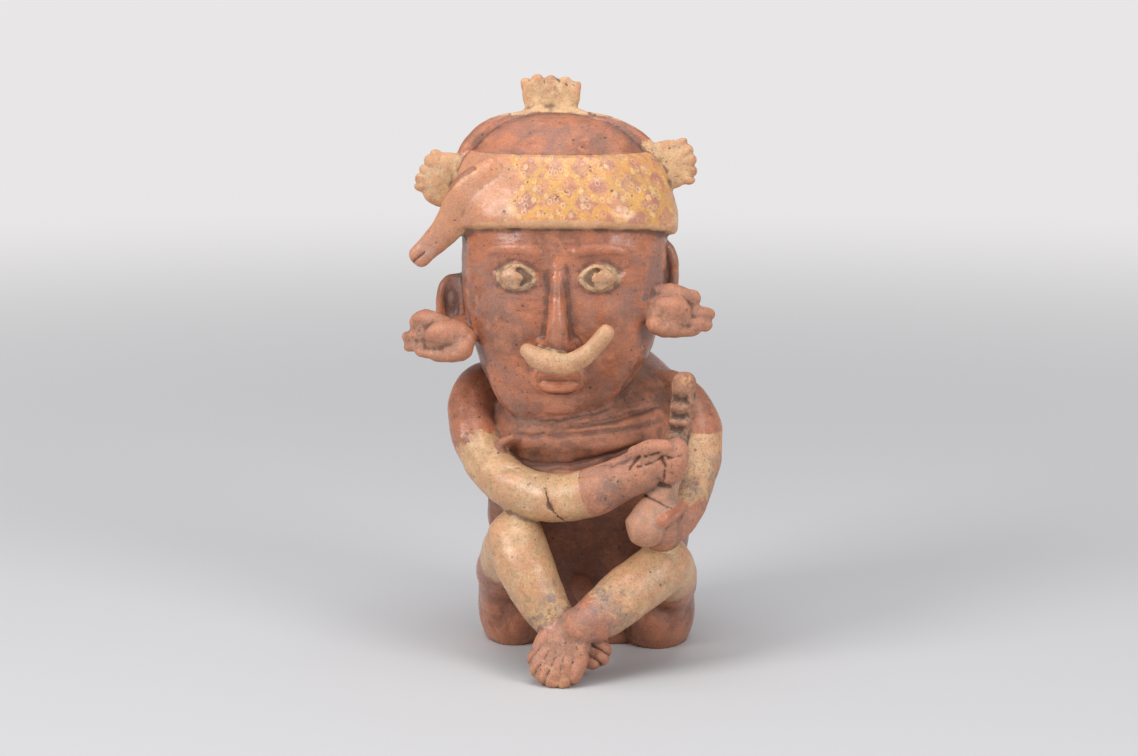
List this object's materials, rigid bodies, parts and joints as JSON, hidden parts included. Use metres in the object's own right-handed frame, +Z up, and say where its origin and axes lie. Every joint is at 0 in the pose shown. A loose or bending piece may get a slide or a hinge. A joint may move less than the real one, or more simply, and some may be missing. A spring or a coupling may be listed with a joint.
{
  "type": "ceramic figure",
  "caption": "Seated hunchback figure of burnished painted clay with headband, fan crest, ear and nose ornaments, playing a notched rasp held at its shoulder.",
  "frame": {"origin": "middle of the bounding box on the floor plane, under the figure's lap", "axes": "+Z up the figure, -Y the way it faces, +X to its left"},
  "size_m": [0.1909, 0.1795, 0.34],
  "materials": {
    "fired_clay": "burnished red slip with matte cream slip and smoky mottling"
  },
  "bodies": {
    "root": {"hunchback_figure": "fired_clay"}
  },
  "joints": []
}
